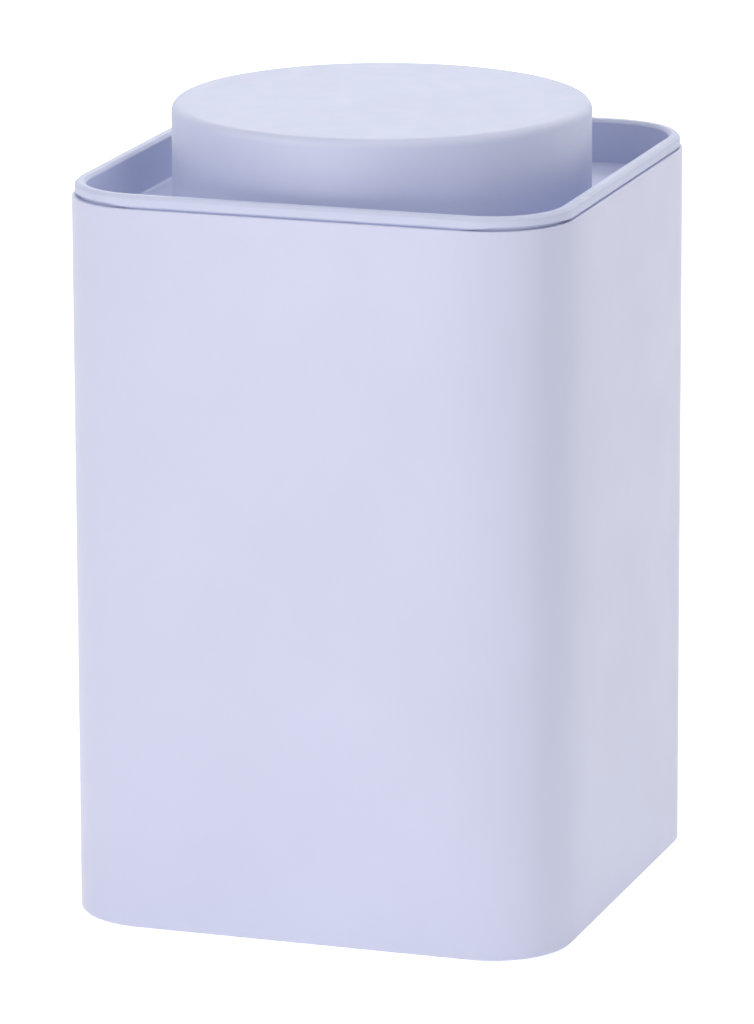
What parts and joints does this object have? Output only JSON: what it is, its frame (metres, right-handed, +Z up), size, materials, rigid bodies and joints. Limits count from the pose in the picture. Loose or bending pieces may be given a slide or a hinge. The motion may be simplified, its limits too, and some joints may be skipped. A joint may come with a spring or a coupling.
{
  "type": "stackable jar",
  "caption": "Nearly square lavender steel storage jar with rounded corners, a plastic collar with a sunk tray and a round push-in lid that nests in the base of the jar above.",
  "frame": {"origin": "centre of the foot, on the surface that the jar stands on", "axes": "+Z up along the jar's axis, X and Y square to the flat sides"},
  "size_m": [0.1, 0.1028, 0.1563],
  "materials": {
    "painted_steel": "satin lavender powder coat on sheet steel",
    "collar_plastic": "matte moulded plastic, lavender",
    "lid_plastic": "matte moulded plastic, lavender",
    "silicone": "pale silicone"
  },
  "bodies": {
    "jar": {"body_shell": "painted_steel", "base_panel": "painted_steel", "collar": "collar_plastic"},
    "lid": {"lid": "lid_plastic", "lid_seal": "silicone"}
  },
  "joints": [
    {"name": "lid_lift", "type": "slide", "parent": "jar", "child": "lid", "axis": [0, 0, 1], "range_m": [0, 0.09]}
  ]
}
